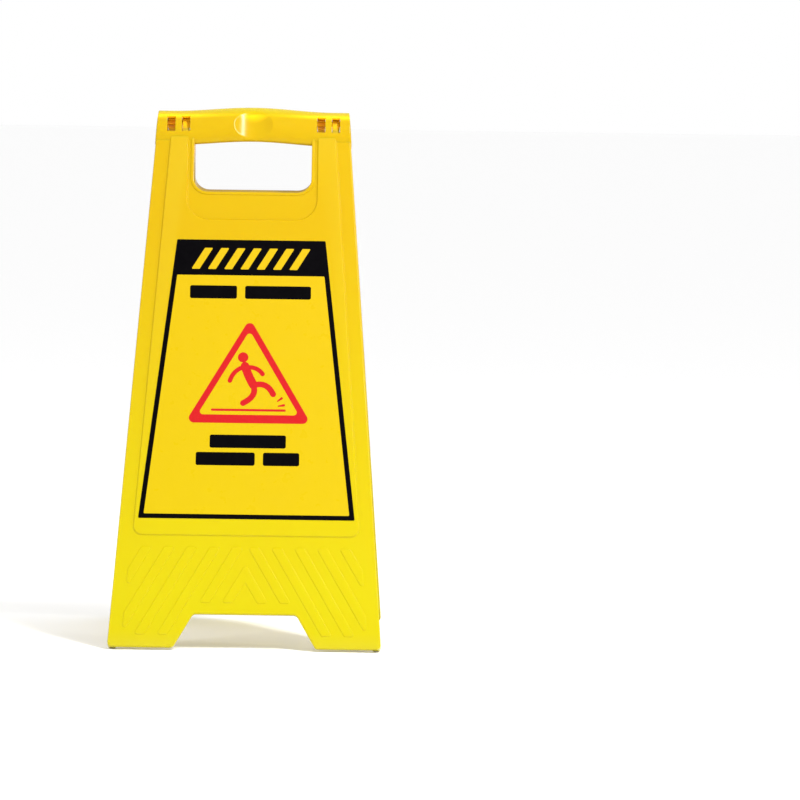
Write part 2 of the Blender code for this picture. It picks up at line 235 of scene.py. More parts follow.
# %% Row, strip and fill helpers
def row(shape, path, depths):
    """Vertices along a path, at one depth behind the outer face or each at its own."""
    if not hasattr(depths, "__len__"):
        depths = [depths] * len(path)
    return [shape.verts.new((x, OUT + depth, z)) for (x, z), depth in zip(path, depths)]


def strips(shape, rows, closed=False):
    """Quads between each row and the next."""
    for low, high in zip(rows, rows[1:]):
        count = len(low)
        for i in range(count if closed else count - 1):
            j = (i + 1) % count
            shape.faces.new((low[i], low[j], high[j], high[i]))


def capped(shape, rows):
    """Closed solid: strips between closed rows, and a face over each end."""
    strips(shape, rows, closed=True)
    shape.faces.new(rows[0])
    shape.faces.new(rows[-1])


def inside_outline(x, z, outline):
    """True if a place lies in a closed outline, by counting crossings."""
    crossed = False
    for (x0, z0), (x1, z1) in zip(outline, outline[1:] + outline[:1]):
        if (z0 > z) != (z1 > z) and x < x0 + (z - z0) * (x1 - x0) / (z1 - z0):
            crossed = not crossed
    return crossed


def fill_round(shape, boundary, holes):
    """Triangulate the area inside a boundary, leaving the area inside each closed hole row open."""
    verts, edges = [], []
    for loop in [boundary] + holes:
        first = len(verts)
        verts += loop
        edges += [(first + i, first + (i + 1) % len(loop)) for i in range(len(loop))]
    plan = [Vector((v.co.x, v.co.z)) for v in verts]
    outlines = [[(v.co.x, v.co.z) for v in hole] for hole in holes]
    _, _, faces, source, _, _ = delaunay_2d_cdt(plan, edges, [], 1, 1e-7)
    for face in faces:
        corners = [verts[source[i][0]] for i in face]
        x = sum(v.co.x for v in corners) / len(corners)
        z = sum(v.co.z for v in corners) / len(corners)
        if not any(inside_outline(x, z, outline) for outline in outlines):
            shape.faces.new(corners)


def ramp(rise_from, rise_to, steps=6):
    """Shares of a width with the heights of a smooth S between two levels."""
    for step in range(steps + 1):
        t = step / steps
        yield t, rise_from + (rise_to - rise_from) * t * t * (3 - 2 * t)


print("ramp", [round(height, 2) for _, height in ramp(0, 1)])

# %% [markdown]
# ## Round the outside: flange and lips
# A panel is a shallow tray. Its sides turn back into a flange as deep as the panel, while the feet
# and the arch only have a short lip. The outer edge is rounded and the flange's free edge is
# softened, so it doesn't cut a hand. The same rows make the wall round the handle hole.

# %% Perimeter rows
EDGE_ROUND = 0.0016
FREE_ROUND = 0.0006
ROOT_ROUND = 0.0012


def quarter(steps=4):
    """Sine and cosine pairs through a quarter turn."""
    for step in range(steps + 1):
        angle = math.pi / 2 * step / steps
        yield math.sin(angle), math.cos(angle)


def rim_depths():
    """Depth of the free edge at each point of the silhouette: deep at the sides, short below."""
    side_count = 1 + ARC_STEPS + 1 + 1
    short_count = 2 * (2 * (ARC_STEPS + 1)) + 2
    side = [DEPTH] * side_count
    return side + [SHORT_LIP] * short_count + side


def wall_rows(shape, outline, deep, soften, rise=0.0):
    """Rows over a softened outer edge, down the wall, round its free edge and back up inside."""
    rows = []
    for sine, cosine in quarter():
        rows.append(row(shape, outline(soften * (1 - sine)), soften * (1 - cosine) - rise))
    free = [(FREE_ROUND * (1 - cosine), FREE_ROUND * (1 - sine)) for sine, cosine in quarter(2)]
    for inset, short in free + [(WALL - inset, short) for inset, short in free[::-1]]:
        rows.append(row(shape, outline(inset), [depth - short for depth in deep]))
    for sine, cosine in quarter(3):
        rows.append(row(shape, outline(WALL + ROOT_ROUND * (1 - cosine)), WALL + ROOT_ROUND * (1 - sine)))
    return rows


print("rim depths", len(rim_depths()))

# %% [markdown]
# ## Round the handle hole: rim and collar
# The hole has a low raised rim outside and a collar inside that runs to the fold plane, so fingers
# meet a smooth tunnel and not a thin edge.

# %% Hole rows
RIM_WIDTH = 0.0030
RIM_RISE = 0.0010
RIM_RAMP = 0.0008
RIM_ROUND = 0.0009


def hole_rows(shape):
    """Rows from the dish floor over the rim, through the hole and back up the collar."""
    def outline(out):
        return hole_path(HOLE_HALF + out, HOLE_LOW - out, HOLE_CORNER + out)

    rows = [row(shape, outline(RIM_WIDTH + RIM_RAMP * (1 - t)), -rise) for t, rise in ramp(0, RIM_RISE, 4)]
    rows += wall_rows(shape, outline, [DEPTH] * len(outline(0)), RIM_ROUND, RIM_RISE)
    strips(shape, rows)
    return rows


print("rim is", RIM_WIDTH * 1000, "mm wide and", RIM_RISE * 1000, "mm high")

# %% [markdown]
# ## Raised bars above the feet
# The skirt carries low slanted bars that meet in the middle as nested chevrons. Each bar is a
# straight-sided outline with rounded corners and a soft ramp.

# %% Chevron bars
BAR_PITCH = 0.025
BAR_SPAN = 0.0124
BAR_RISE = 0.0008
BAR_RAMP = 0.0009
BAR_CORNER = 0.0024
FIRST_BAR_EDGE = 0.0145
SKIRT_HIGH = 0.1136
SKIRT_LOW = 0.0135
ARCH_MARGIN = 0.012
SIDE_MARGIN = 0.0146
BAR_SLOPE = math.tan(math.radians(29.7))


def clip(outline, inside):
    """Part of an outline where a linear function of its place is positive."""
    kept = []
    for index, point in enumerate(outline):
        previous = outline[index - 1]
        now, then = inside(*point), inside(*previous)
        if (now > 0) != (then > 0):
            share = then / (then - now)
            kept.append(tuple(a + share * (b - a) for a, b in zip(previous, point)))
        if now > 0:
            kept.append(point)
    return kept


def right_bar(index):
    """Corners of one bar on the right, in (x, from_foot), counter-clockwise."""
    outer = FIRST_BAR_EDGE + BAR_PITCH * index
    low = SKIRT_LOW if index >= 1 else ARCH_HIGH + ARCH_MARGIN
    run = (SKIRT_HIGH - low) * BAR_SLOPE
    strip = [
        (outer, SKIRT_HIGH),
        (outer - BAR_SPAN, SKIRT_HIGH),
        (outer + run - BAR_SPAN, low),
        (outer + run, low),
    ]
    strip = clip(strip, lambda x, v: x)
    strip = clip(strip, lambda x, v: half_width(v) - SIDE_MARGIN - x)
    return [p for i, p in enumerate(strip) if math.dist(p, strip[i - 1]) > BAR_CORNER]


def chevron_outlines():
    """Every bar's corners in panel coordinates, the middle chevron as one outline."""
    outlines = []
    for index in range(5):
        bar = right_bar(index)
        outlines.append([(x, up(v)) for x, v in bar])
        outlines.append([(-x, up(v)) for x, v in reversed(bar)])
    half = right_bar(-1)
    apex = max(v for x, v in half)
    notch = max(v for x, v in half if x < 1e-6 and v < apex - 1e-6)
    low = sorted((x, v) for x, v in half if x > 1e-6)
    inner, outer = low[0], low[-1]
    middle = [(0, apex), (-outer[0], outer[1]), (-inner[0], inner[1]), (0, notch), inner, outer]
    outlines.append([(x, up(v)) for x, v in middle])
    return outlines


def bar_rows(shape, corners):
    """Closed rows that climb from the skin to the top of one bar, and its top."""
    rows = []
    for t, rise in ramp(0, BAR_RISE, 4):
        inset = BAR_RAMP * t
        points = shrunk(corners, inset)
        outline = rounded([(x, z, BAR_CORNER - inset) for x, z in points], 4)
        rows.append(row(shape, outline, -rise))
    strips(shape, rows, closed=True)
    return rows[0], rows[-1]


print("bars", len(chevron_outlines()))

# %% [markdown]
# ## One tray
# Now the rows meet. The dish and the raised field are S-shaped ramps between flat levels, the
# border is filled round the chevron bars, and inside, the skin follows the field so that the wall
# stays equally thick. The two open ends under the beam are closed last.

# %% Tray mesh
FIELD_RISE = 0.0016
FIELD_RAMP = 0.0018
FIELD_CORNER = 0.009
DISH_RAMP = 0.0016
POCKET_INSET = 0.0186
POCKET_LOW = 0.1285
POCKET_HIGH = 0.4855
POCKET_CORNER = 0.008


def pocket_outline(inset):
    """Closed outline of the hollow behind the field."""
    low, high, corner = POCKET_LOW + inset, POCKET_HIGH - inset, POCKET_CORNER - inset
    sides = [half_width(place) - POCKET_INSET - inset for place in (low, high)]
    return tapered(low, high, *sides, corner, corner / 2)


def add_tray(shape):
    """The skin with its flange, feet, field, dish, hole, bars and pocket, as one closed shell."""
    perimeter = wall_rows(shape, silhouette, rim_depths(), EDGE_ROUND)
    strips(shape, perimeter)
    hole = hole_rows(shape)
    dish = []
    for t, rise in ramp(0, FIELD_RISE):
        out = DISH_RAMP * t
        dish.append(row(shape, hole_path(DISH_HALF + out, DISH_LOW - out, DISH_CORNER + out), -rise))
    field = []
    for t, rise in ramp(FIELD_RISE, 0):
        out = FIELD_RAMP * t
        path = field_path(FIELD_INSET + FIELD_RAMP - out, FIELD_LOW + FIELD_RAMP - out, FIELD_CORNER + out)
        field.append(row(shape, path, -rise))
    strips(shape, [hole[0]] + dish + field)
    bars = [bar_rows(shape, corners) for corners in chevron_outlines()]
    fill_round(shape, perimeter[0] + field[-1][::-1], [foot for foot, top in bars])
    for foot, top in bars:
        shape.faces.new(top)
    pocket = [row(shape, pocket_outline(FIELD_RAMP * t), WALL - rise) for t, rise in ramp(0, FIELD_RISE)]
    strips(shape, pocket, closed=True)
    shape.faces.new(pocket[-1])
    fill_round(shape, perimeter[-1] + hole[-1][::-1], [pocket[0]])
    bmesh.ops.holes_fill(shape, edges=[e for e in shape.edges if e.is_boundary], sides=0)


def try_out(label, build):
    """Build one part alone and print its faces and how many edges don't close."""
    trial = bmesh.new()
    build(trial)
    open_edges = sum(not edge.is_manifold for edge in trial.edges)
    print(label, len(trial.faces), "edges that don't close", open_edges)
    trial.free()


try_out("tray faces", add_tray)

# %% [markdown]
# ## The barrel's section
# Folded, the two beams make one round grip. Open, each is a half barrel, and the flat ends of the
# halves stop against each other at the apex. A few formulas give every point of it from an angle
# round the barrel and a radius.

# %% Barrel formulas
BEAM_RADIUS = 0.030
BEAM_WALL = 0.0026
BEAM_FLOOR = 0.5778
BEAM_END_LAP = 0.0006
APEX_TILT = math.radians(12.0)
CROWN_RISE = 0.0045
CROWN_REACH = 0.090


def stop_point(distance):
    """Place on the stop face's plane, a distance above the hinge axis."""
    return (-distance * math.sin(LEAN), distance * math.cos(LEAN))


APEX_Y, APEX_Z = stop_point(APEX_ABOVE_AXIS)
CENTRE_Y = APEX_Y + BEAM_RADIUS * math.sin(APEX_TILT + LEAN) - HALF_GAP
CENTRE_Z = APEX_Z - BEAM_RADIUS * math.cos(APEX_TILT + LEAN)


def on_barrel(radius, angle):
    """Point of the barrel at an angle from straight up towards the outer face."""
    return (CENTRE_Y - radius * math.sin(angle), CENTRE_Z + radius * math.cos(angle))


def stop_angle(radius):
    """Angle at which a circle about the barrel's centre meets the stop face."""
    offset = (CENTRE_Y + HALF_GAP) * math.cos(LEAN) + CENTRE_Z * math.sin(LEAN)
    return LEAN + math.asin(offset / radius)


def low_angle(radius):
    """Angle at which a circle about the barrel's centre comes down to the beam's lower edge."""
    return math.acos((up(BEAM_FLOOR) - CENTRE_Z) / radius)


def crown(x):
    """Rise of the beam towards its middle."""
    if abs(x) >= CROWN_REACH:
        return 0.0
    return CROWN_RISE * (1 + math.cos(math.pi * x / CROWN_REACH)) / 2


def beam_end(z):
    """Half the beam's length at a height: its ends lap over the tray's tapered sides."""
    return half_width(z + AXIS_FROM_FOOT) + BEAM_END_LAP


print("barrel from", round(math.degrees(stop_angle(BEAM_RADIUS))), "to",
      round(math.degrees(low_angle(BEAM_RADIUS))), "degrees")

# %% [markdown]
# ## The beam's skin
# The grip has a thumb scoop in the middle and four windows, where the tool reached through to form
# the hinge. A grid over (length, angle) suits it: the scoop only changes the radius, the windows
# are missing cells, and the same grid again, one wall thinner, makes the inside.

# %% Beam grid
SCOOP_RADIUS = 0.050
SCOOP_WIDTH = 0.043
SCOOP_ANGLE = math.radians(86.0)
SCOOP_DEPTH = SCOOP_RADIUS - math.sqrt(SCOOP_RADIUS ** 2 - (SCOOP_WIDTH / 2) ** 2)
SCOOP_BLEND = 0.0004
BEAM_ROUND = 0.0010
WINDOW_CHAMFER = 0.0004
BAR_STATIONS = (-0.0918, 0.0754)
HOOK_STATIONS = (-0.0754, 0.0918)
STATIONS = BAR_STATIONS + HOOK_STATIONS
WINDOW_HALF = 0.0045
WINDOW_ANGLE = math.radians(76.0)
WINDOW_SPREAD = math.asin(0.00975 / BEAM_RADIUS)
END_FREE = 0.098


def merged(fixed, filler, gap):
    """Fixed places with filler places that keep a gap to them, in order."""
    places = list(fixed)
    places += [place for place in filler if all(abs(place - other) > gap for other in fixed)]
    return sorted(places)


def beam_columns():
    """Places along the beam for the grid's columns."""
    end = beam_end(up(SLANT))
    fixed = [side * (end - BEAM_ROUND * share) for side in (-1, 1) for share in (0, 0.1, 0.35, 1)]
    for station in STATIONS:
        for side in (-1, 1):
            fixed += [station + side * (WINDOW_HALF + chamfer) for chamfer in (0, WINDOW_CHAMFER)]
    filler = [SCOOP_WIDTH * 1.3 * (i / 48 - 0.5) for i in range(49)]
    filler += [0.004 * i for i in range(-27, 28) if 0.028 < abs(0.004 * i) < end - BEAM_ROUND]
    return merged(fixed, filler, 0.0006)


def beam_angles():
    """Angles round the barrel for the grid's rows."""
    first, last = stop_angle(BEAM_RADIUS), low_angle(BEAM_RADIUS)
    fixed = [first + BEAM_ROUND / 2 * share / BEAM_RADIUS for share in (0, 0.2, 1)]
    fixed += [last - BEAM_ROUND * share / BEAM_RADIUS for share in (0, 0.1, 0.35, 1)]
    for side in (-1, 1):
        edge = WINDOW_ANGLE + side * WINDOW_SPREAD
        fixed += [edge, edge + side * WINDOW_CHAMFER / BEAM_RADIUS]
    filler = [first + (last - first) * i / 50 for i in range(1, 50)]
    return merged(fixed, filler, math.radians(0.8))


def edge_drop(distance, radius):
    """How far a rounded edge falls away, at a distance from the edge."""
    if distance >= radius:
        return 0.0
    return radius - math.sqrt(radius ** 2 - (radius - max(distance, 0.0)) ** 2)


def window_drop(x, angle):
    """Chamfer round the nearest window."""
    nearest = min(STATIONS, key=lambda station: abs(x - station))
    beside = abs(x - nearest) - WINDOW_HALF
    above = (abs(angle - WINDOW_ANGLE) - WINDOW_SPREAD) * BEAM_RADIUS
    return max(WINDOW_CHAMFER - max(beside, above, 0.0), 0.0)


def scooped(x, angle):
    """Barrel radius with the thumb scoop, its edge softened by a smooth minimum."""
    tilt = angle - SCOOP_ANGLE
    if abs(x) > SCOOP_WIDTH * 0.7 or abs(tilt) > math.radians(60):
        return BEAM_RADIUS
    floor = BEAM_RADIUS - SCOOP_DEPTH + SCOOP_RADIUS - math.sqrt(SCOOP_RADIUS ** 2 - x * x)
    scoop = floor / math.cos(tilt)
    mix = max(SCOOP_BLEND - abs(scoop - BEAM_RADIUS), 0.0) / SCOOP_BLEND
    return min(scoop, BEAM_RADIUS) - mix * mix * SCOOP_BLEND / 4


def beam_vertex(shape, x, radius, angle):
    """One vertex of the beam, crowned towards the middle and stretched to the tapered ends."""
    y, z = on_barrel(radius, angle)
    rise_y, rise_z = stop_point(crown(x))
    if abs(x) > END_FREE:
        end = beam_end(up(SLANT))
        share = (abs(x) - END_FREE) / (end - END_FREE)
        x = math.copysign(END_FREE + share * (beam_end(z) - END_FREE), x)
    return shape.verts.new((x, y + rise_y, z + rise_z))


def outer_vertex(shape, x, angle):
    """Vertex of the beam's outside, with its edges rounded."""
    radius = scooped(x, angle) - window_drop(x, angle)
    radius -= edge_drop(beam_end(up(SLANT)) - abs(x), BEAM_ROUND)
    radius -= edge_drop((low_angle(BEAM_RADIUS) - angle) * BEAM_RADIUS, BEAM_ROUND)
    radius -= edge_drop((angle - stop_angle(BEAM_RADIUS)) * BEAM_RADIUS, BEAM_ROUND / 2)
    return beam_vertex(shape, x, radius, angle)


def inner_vertex(shape, x, angle):
    """Vertex of the beam's inside, a wall's thickness in."""
    radius = scooped(x, angle) - BEAM_WALL
    first = stop_angle(BEAM_RADIUS)
    angle = max(angle, stop_angle(radius) + 0.3 * (angle - first))
    if angle > low_angle(BEAM_RADIUS) - 1e-6:
        angle = low_angle(radius)
    return beam_vertex(shape, x, radius, angle)


def in_window(x, angle):
    """True inside one of the four windows."""
    across = any(abs(x - station) < WINDOW_HALF for station in STATIONS)
    return across and abs(angle - WINDOW_ANGLE) < WINDOW_SPREAD


def add_beam(shape):
    """Both sides of the half barrel, joined round its border and round each window."""
    columns, angles = beam_columns(), beam_angles()
    outside = [[outer_vertex(shape, x, a) for a in angles] for x in columns]
    inside = [[inner_vertex(shape, x, a) for a in angles] for x in columns]
    width, height = len(columns) - 1, len(angles) - 1

    def solid(i, j):
        if not (0 <= i < width and 0 <= j < height):
            return False
        return not in_window((columns[i] + columns[i + 1]) / 2, (angles[j] + angles[j + 1]) / 2)

    for i in range(width):
        for j in range(height):
            if not solid(i, j):
                continue
            cell = ((i, j), (i + 1, j), (i + 1, j + 1), (i, j + 1))
            shape.faces.new([outside[a][b] for a, b in cell])
            shape.faces.new([inside[a][b] for a, b in cell])
            for side, (di, dj) in enumerate(((0, -1), (1, 0), (0, 1), (-1, 0))):
                if solid(i + di, j + dj):
                    continue
                (a, b), (c, d) = cell[side], cell[(side + 1) % 4]
                shape.faces.new((outside[a][b], outside[c][d], inside[c][d], inside[a][b]))
    bmesh.ops.delete(shape, geom=[v for v in shape.verts if not v.link_faces], context="VERTS")


print("beam columns and rows", len(beam_columns()), len(beam_angles()))
try_out("beam faces", add_beam)

# %% [markdown]
# ## Small solids of the hinge
# Inside the beam sit two hinge bars and two hooks. Each bar snaps into the other panel's hook, so
# the sign needs no pin. They are side profiles with a small chamfer on each end, which catches the
# light as on a real moulding.

# %% Chamfered solid helper
CHAMFER = 0.0002


def circle(radius, steps=28):
    """Points on a circle about nought, counter-clockwise; the hinge axis passes there."""
    turns = [2 * math.pi * i / steps for i in range(steps)]
    return [(radius * math.cos(a), radius * math.sin(a)) for a in turns]


def anticlockwise(profile):
    """The same profile, turned so that it runs counter-clockwise."""
    area = sum(a[0] * b[1] - b[0] * a[1] for a, b in zip(profile, profile[1:] + profile[:1]))
    return profile if area > 0 else profile[::-1]


def add_solid(shape, profile, near, far, chamfer=CHAMFER, along="x"):
    """Closed solid with a plane profile between two places along X, or along Y for an (x, z) profile."""
    profile = anticlockwise(profile)
    small = shrunk(profile, chamfer)
    stations = [(near, small), (near + chamfer, profile), (far - chamfer, profile), (far, small)]
    rows = []
    for place, outline in stations:
        points = [(place, a, b) if along == "x" else (a, place, b) for a, b in outline]
        rows.append([shape.verts.new(point) for point in points])
    capped(shape, rows)


print("chamfer", CHAMFER * 1000, "mm")

# %% [markdown]
# ## Bars, cheeks and hooks
# A bar stands between two cheeks that grow from the beam's wall. A hook is a C of spring-hard
# plastic on a short arm, with its mouth towards the other panel.

# %% Hinge pieces, end plates, ribs and foot blocks
PLATE_BACK = 0.0003
BAR_RADIUS = 0.0030
BAR_HALF_LENGTH = 0.0068
CHEEK_WALL = 0.0022
CHEEK_RADIUS = 0.0042
CHEEK_LOW = 0.5875
HOOK_INNER = 0.00335
HOOK_OUTER = 0.0062
HOOK_WIDTH = 0.0084
HOOK_MOUTH = math.radians(110.0)
ARM_ANGLES = (math.radians(113.0), math.radians(101.0))
RIB_PLACES = (0.0785, 0.0895)
RIB_WALL = 0.0018
RIB_DEPTH = 0.0095
RIB_HIGH = 0.5838
RIB_CORNER = 0.004
CROSS_RIB = 0.541
CROSS_RIB_STEP = 0.002
ROOT_LAP = 0.0005
SIDE_LAP = 0.0012
ARM_HALF = 0.0024
CORNER_BLOCK = 0.008
CORNER_BLOCK_HEIGHT = 0.014


def barrel_section(radius, low):
    """Filled section of the half barrel, just short of the stop face and the fold plane."""
    first = stop_angle(radius) + PLATE_BACK / radius
    last = math.acos((up(low) - CENTRE_Z) / radius)
    arc = [on_barrel(radius, first + (last - first) * i / 24) for i in range(25)]
    edge = -HALF_GAP - PLATE_BACK
    return arc + [(edge, up(low)), (edge, -PLATE_BACK)]


def add_end_plates(shape):
    """Plate that closes each end of the barrel, following the panel's taper."""
    profile = anticlockwise(barrel_section(BEAM_RADIUS - 0.0004, BEAM_FLOOR + 0.0004))
    small = shrunk(profile, CHAMFER)
    for side in (-1, 1):
        rows = []
        for depth, outline in ((0.0001, small), (0.0003, profile), (BEAM_WALL, profile)):
            rows.append([shape.verts.new((side * (beam_end(z) - depth), y, z)) for y, z in outline])
        capped(shape, rows)


def add_bar(shape, middle):
    """Hinge bar between its two cheeks."""
    for side in (-1, 1):
        near, far = sorted((middle + side * BAR_HALF_LENGTH, middle + side * (BAR_HALF_LENGTH - CHEEK_WALL)))
        add_solid(shape, barrel_section(BEAM_RADIUS - 0.0008, CHEEK_LOW), near, far)
        add_solid(shape, circle(CHEEK_RADIUS), near, far)
    reach = BAR_HALF_LENGTH - CHEEK_WALL / 2
    add_solid(shape, circle(BAR_RADIUS), middle - reach, middle + reach)


def add_hook(shape, middle):
    """C-shaped hook and its arm."""
    half_ring = math.pi - HOOK_MOUTH / 2
    angles = [math.pi + half_ring * (i / 16 - 1) for i in range(33)]
    ring = [(HOOK_OUTER * math.cos(a), HOOK_OUTER * math.sin(a)) for a in angles]
    ring += [(HOOK_INNER * math.cos(a), HOOK_INNER * math.sin(a)) for a in angles[::-1]]
    near, far = middle - HOOK_WIDTH / 2, middle + HOOK_WIDTH / 2
    add_solid(shape, ring, near, far)
    arm = [(-HOOK_INNER - SIDE_LAP, ARM_HALF), (-HOOK_INNER - SIDE_LAP, -ARM_HALF)]
    arm += [on_barrel(BEAM_RADIUS - BEAM_WALL / 2, angle) for angle in ARM_ANGLES]
    add_solid(shape, arm, near + 0.0002, far - 0.0002)


def add_ribs(shape):
    """Upright ribs beside the handle hole, with one rib across each pair."""
    front = OUT + WALL - ROOT_LAP
    deep = OUT + WALL + RIB_DEPTH
    for side in (-1, 1):
        for place in RIB_PLACES:
            profile = [(front, up(POCKET_HIGH)), (deep - RIB_CORNER, up(POCKET_HIGH)),
                       (deep, up(POCKET_HIGH + RIB_CORNER)), (deep, up(RIB_HIGH)), (front, up(RIB_HIGH))]
            near, far = sorted((side * place, side * (place + RIB_WALL)))
            add_solid(shape, profile, near, far)
        near, far = sorted((side * (HOLE_HALF + SIDE_LAP), side * (RIB_PLACES[-1] + RIB_WALL / 2)))
        low, high = up(CROSS_RIB), up(CROSS_RIB + RIB_WALL)
        back = deep - CROSS_RIB_STEP
        add_solid(shape, [(front, low), (back, low), (back, high), (front, high)], near, far)


def add_foot_blocks(shape):
    """Solid block in each foot's outer corner, which stands on the floor."""
    top = up(CORNER_BLOCK_HEIGHT)
    for side in (-1, 1):
        profile = [
            (side * (half_width(0) - SIDE_LAP), up(0.0030)),
            (side * (half_width(0) - CORNER_BLOCK), up(0.0001)),
            (side * (half_width(CORNER_BLOCK_HEIGHT) - CORNER_BLOCK), top),
            (side * (half_width(CORNER_BLOCK_HEIGHT) - SIDE_LAP), top),
        ]
        add_solid(shape, profile, OUT + WALL - ROOT_LAP, -HALF_GAP, along="y")


print("hinge stations", sorted(STATIONS))

# %% [markdown]
# ## The finished moulding
# All solids go into one mesh, because it is one moulding. The feet are cut level with the floor,
# as on the frame. Smooth shading with weighted normals lets the small rounded edges catch light
# while the wide faces stay flat.

# %% Moulding mesh
def finished_mesh(shape, name):
    """Mesh from a shape that is then let go, its normals turned outwards."""
    bmesh.ops.recalc_face_normals(shape, faces=shape.faces)
    mesh = bpy.data.meshes.new(name)
    shape.to_mesh(mesh)
    shape.free()
    return mesh


def moulding_mesh():
    """Mesh of one panel in its own frame."""
    shape = bmesh.new()
    add_tray(shape)
    add_beam(shape)
    add_end_plates(shape)
    for station in BAR_STATIONS:
        add_bar(shape, station)
    for station in HOOK_STATIONS:
        add_hook(shape, station)
    add_ribs(shape)
    add_foot_blocks(shape)
    to_world = panel_place(False)
    for vertex in shape.verts:
        below = FLOOR - (to_world @ vertex.co).z
        if below > 0:
            vertex.co.z += below / math.cos(LEAN)
    mesh = finished_mesh(shape, "moulding")
    mesh.shade_smooth()
    mesh.set_sharp_from_angle(angle=math.radians(40))
    return mesh


moulding = moulding_mesh()
print("moulding", len(moulding.vertices), "vertices,", len(moulding.polygons), "faces")

# %% [markdown]
# ## Node helpers
# Each finish is a small network: a shader, noise for the texture of the surface, and ramps that
# turn the noise into colour and gloss. These helpers keep each recipe to a few lines.

# %% Material helpers
def new_finish(name, roughness, specular=0.10):
    """Material with a principled shader; returns material, nodes, shader."""
    material = bpy.data.materials.new(name)
    material.use_nodes = True
    shader = material.node_tree.nodes["Principled BSDF"]
    shader.inputs["Roughness"].default_value = roughness
    shader.inputs["Specular IOR Level"].default_value = specular
    return material, material.node_tree, shader


def noise(tree, scale, detail=3.0, stretch=(1, 1, 1)):
    """Noise in the piece's own coordinates, in features per metre, stretched along its axes."""
    place = tree.nodes.new("ShaderNodeTexCoord")
    mapping = tree.nodes.new("ShaderNodeMapping")
    mapping.inputs["Scale"].default_value = stretch
    texture = tree.nodes.new("ShaderNodeTexNoise")
    texture.inputs["Scale"].default_value = scale
    texture.inputs["Detail"].default_value = detail
    tree.links.new(place.outputs["Object"], mapping.inputs["Vector"])
    tree.links.new(mapping.outputs["Vector"], texture.inputs["Vector"])
    return texture.outputs["Fac"]


def remap(tree, value, from_low, from_high, to_low, to_high):
    """Map a value from one range to another, clamped."""
    node = tree.nodes.new("ShaderNodeMapRange")
    ends = {"From Min": from_low, "From Max": from_high, "To Min": to_low, "To Max": to_high}
    for name, number in ends.items():
        node.inputs[name].default_value = number
    tree.links.new(value, node.inputs["Value"])
    return node.outputs["Result"]


def varied_gloss(tree, shader, scale, detail, low, high):
    """Roughness that wanders between two values."""
    gloss = remap(tree, noise(tree, scale, detail), 0.3, 0.7, low, high)
    tree.links.new(gloss, shader.inputs["Roughness"])


def blend_colours(tree, share, first, second, mode="MIX"):
    """Mix two colours, each a plain colour or a socket, by a share."""
    node = tree.nodes.new("ShaderNodeMix")
    node.data_type = "RGBA"
    node.blend_type = mode
    for value, socket in ((share, node.inputs[0]), (first, node.inputs[6]), (second, node.inputs[7])):
        if isinstance(value, bpy.types.NodeSocket):
            tree.links.new(value, socket)
        else:
            socket.default_value = value
    return node.outputs[2]


def bumped(tree, shader, height, distance, strength, under=None):
    """Bump from a height value; returns its normal so that another bump can lie on it."""
    node = tree.nodes.new("ShaderNodeBump")
    node.inputs["Distance"].default_value = distance
    node.inputs["Strength"].default_value = strength
    tree.links.new(height, node.inputs["Height"])
    if under is not None:
        tree.links.new(under, node.inputs["Normal"])
    tree.links.new(node.outputs["Normal"], shader.inputs["Normal"])
    return node.outputs["Normal"]


print("helpers ready")

# %% [markdown]
# ## Yellow polypropylene
# The sign is moulded in polypropylene that is coloured right through. It has a glossy skin with the
# tool's fine grain, faint flow marks, paler rubbed edges and a little dust at the feet. The colour
# is graded from lemon at the feet to a warmer yellow at the grip as painted light, with a painted
# highlight on the crest. The hinge parts inside the beam are painted a deeper orange, as painted
# bounce light for light that turns orange between yellow walls.

# %% Yellow plastic
# The grip yellow and the lemon foot yellow are the two ends of a painted light grade; the lemon at the feet
# is painted bounce light from the floor.
GRIP_YELLOW = (0.417, 0.266, 0.0007, 1.0)
LEMON_PAINTED_LIGHT = (0.443, 0.378, 0.0007, 1.0)
FLOW_YELLOW = (0.405, 0.246, 0.0007, 1.0)
# Painted bounce light: the hinge parts inside the beam are painted orange.
PAINTED_BOUNCE_ORANGE = (0.960, 0.480, 0.003, 1.0)
RUBBED_YELLOW = (0.500, 0.430, 0.040, 1.0)
DUST = (0.330, 0.290, 0.110, 1.0)
# Heights over which the painted light grade runs.
PAINTED_LIGHT_LOW, PAINTED_LIGHT_HIGH = FLOOR + 0.06, FLOOR + 0.46
# Heights of the painted highlight along the top of the beam.
PAINTED_HIGHLIGHT_LOW, PAINTED_HIGHLIGHT_HIGH = FLOOR + 0.577, FLOOR + 0.590
DUST_HIGH = FLOOR + 0.020
# Where the painted bounce light lies: near the fold plane and below the top of the hinge parts.
PAINTED_BOUNCE_NEAR, PAINTED_BOUNCE_PAST = 0.012, 0.016
PAINTED_BOUNCE_BELOW, PAINTED_BOUNCE_ABOVE = AXIS_HEIGHT + 0.008, AXIS_HEIGHT + 0.011


def yellow_painted_grade_and_flow(tree, low_colour, high_colour):
    """Yellow graded from the foot to the grip as painted light, with faint flow marks."""
    place = tree.nodes.new("ShaderNodeTexCoord")
    split = tree.nodes.new("ShaderNodeSeparateXYZ")
    tree.links.new(place.outputs["Object"], split.inputs["Vector"])
    # Painted light: the yellow turns lemon towards the feet.
    along = remap(tree, split.outputs["Z"], PAINTED_LIGHT_LOW, PAINTED_LIGHT_HIGH, 0.0, 1.0)
    colour = blend_colours(tree, along, low_colour, high_colour)
    flow = remap(tree, noise(tree, 9.0, 4.0, (1.0, 1.0, 0.25)), 0.35, 0.65, 0.0, 0.07)
    return blend_colours(tree, flow, colour, FLOW_YELLOW), split


def calculated(tree, operation, *values):
    """Result of a maths node on one or two values."""
    node = tree.nodes.new("ShaderNodeMath")
    node.operation = operation
    for value, socket in zip(values, node.inputs):
        tree.links.new(value, socket)
    return node.outputs[0]


